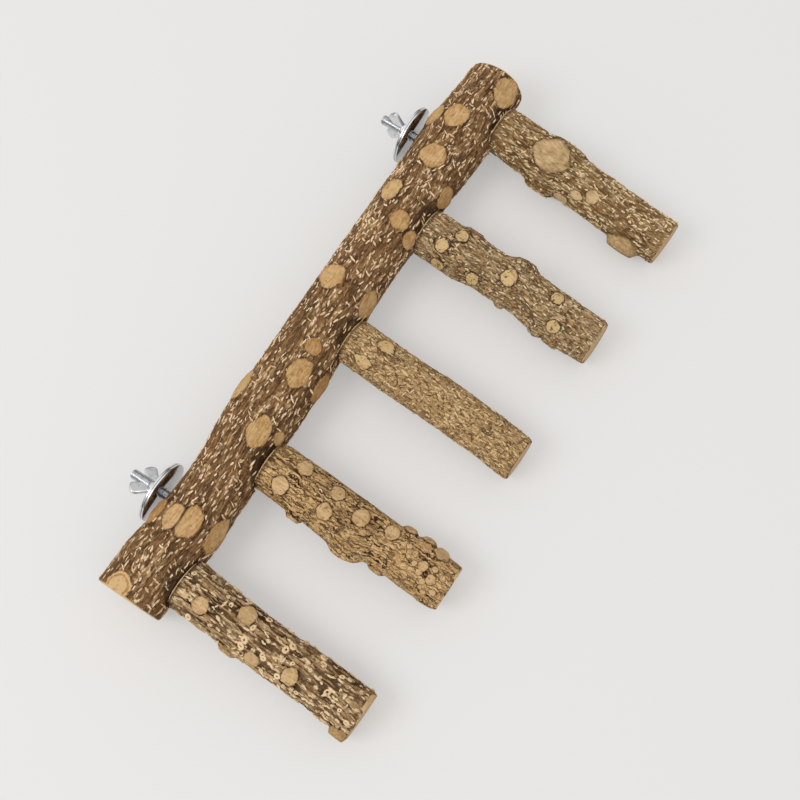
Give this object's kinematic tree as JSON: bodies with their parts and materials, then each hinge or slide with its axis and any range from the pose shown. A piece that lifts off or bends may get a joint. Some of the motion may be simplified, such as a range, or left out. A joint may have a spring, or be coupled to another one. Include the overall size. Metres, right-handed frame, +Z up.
{
  "type": "bird ladder",
  "caption": "Natural branch ladder for a bird cage: a main branch with perches on one side and studs with washers and wing nuts on the other.",
  "frame": {"origin": "middle of the ladder as it lies, on the surface under it", "axes": "+X along the perches to their free ends, +Y along the main branch to its upper end, +Z up"},
  "size_m": [0.153, 0.308, 0.0343],
  "materials": {
    "main_bark": "natural bark, dry and rough",
    "perch_1_bark": "natural bark, dry and rough",
    "perch_2_bark": "natural bark, dry and rough",
    "perch_3_bark": "natural bark, dry and rough",
    "perch_4_bark": "natural bark, dry and rough",
    "perch_5_bark": "natural bark, dry and rough",
    "screw_steel": "plain zinc plate",
    "stud_zinc": "bright zinc plate",
    "washer_chrome": "bright plate, smooth",
    "nut_zinc": "bright zinc plate"
  },
  "bodies": {
    "ladder": {"main_branch": "main_bark", "perch_1": "perch_1_bark", "perch_2": "perch_2_bark", "perch_3": "perch_3_bark", "perch_4": "perch_4_bark", "perch_5": "perch_5_bark", "dowel_screw_1": "screw_steel", "dowel_screw_2": "screw_steel", "dowel_screw_3": "screw_steel", "dowel_screw_4": "screw_steel", "dowel_screw_5": "screw_steel", "hanger_bolt_upper": "stud_zinc", "hanger_bolt_lower": "stud_zinc"},
    "upper_inner_washer": {"inner_washer_upper": "washer_chrome"},
    "upper_outer_washer": {"outer_washer_upper": "washer_chrome"},
    "upper_nut": {"wing_nut_upper": "nut_zinc"},
    "lower_inner_washer": {"inner_washer_lower": "washer_chrome"},
    "lower_outer_washer": {"outer_washer_lower": "washer_chrome"},
    "lower_nut": {"wing_nut_lower": "nut_zinc"}
  },
  "joints": [
    {"name": "upper_inner_washer_slide", "type": "slide", "parent": "ladder", "child": "upper_inner_washer", "axis": [-1, 0, 0], "range_m": [-0.0024, 0]},
    {"name": "upper_outer_washer_slide", "type": "slide", "parent": "ladder", "child": "upper_outer_washer", "axis": [-1, 0, 0], "range_m": [0, 0.01]},
    {"name": "upper_nut_spin", "type": "hinge", "parent": "upper_outer_washer", "child": "upper_nut", "pos_m": [-0.06067, 0.106, 0.0167], "axis": [-1, 0, 0], "range_deg": [0, 4500]},
    {"name": "lower_inner_washer_slide", "type": "slide", "parent": "ladder", "child": "lower_inner_washer", "axis": [-1, 0, 0], "range_m": [-0.002, 0]},
    {"name": "lower_outer_washer_slide", "type": "slide", "parent": "ladder", "child": "lower_outer_washer", "axis": [-1, 0, 0], "range_m": [0, 0.01]},
    {"name": "lower_nut_spin", "type": "hinge", "parent": "lower_outer_washer", "child": "lower_nut", "pos_m": [-0.05674, -0.107, 0.0167], "axis": [-1, 0, 0], "range_deg": [0, 4500]}
  ],
  "couplings": [
    {"joint": "upper_nut_spin", "follows": "upper_outer_washer_slide", "rad_per_m": 7854},
    {"joint": "lower_nut_spin", "follows": "lower_outer_washer_slide", "rad_per_m": 7854}
  ]
}
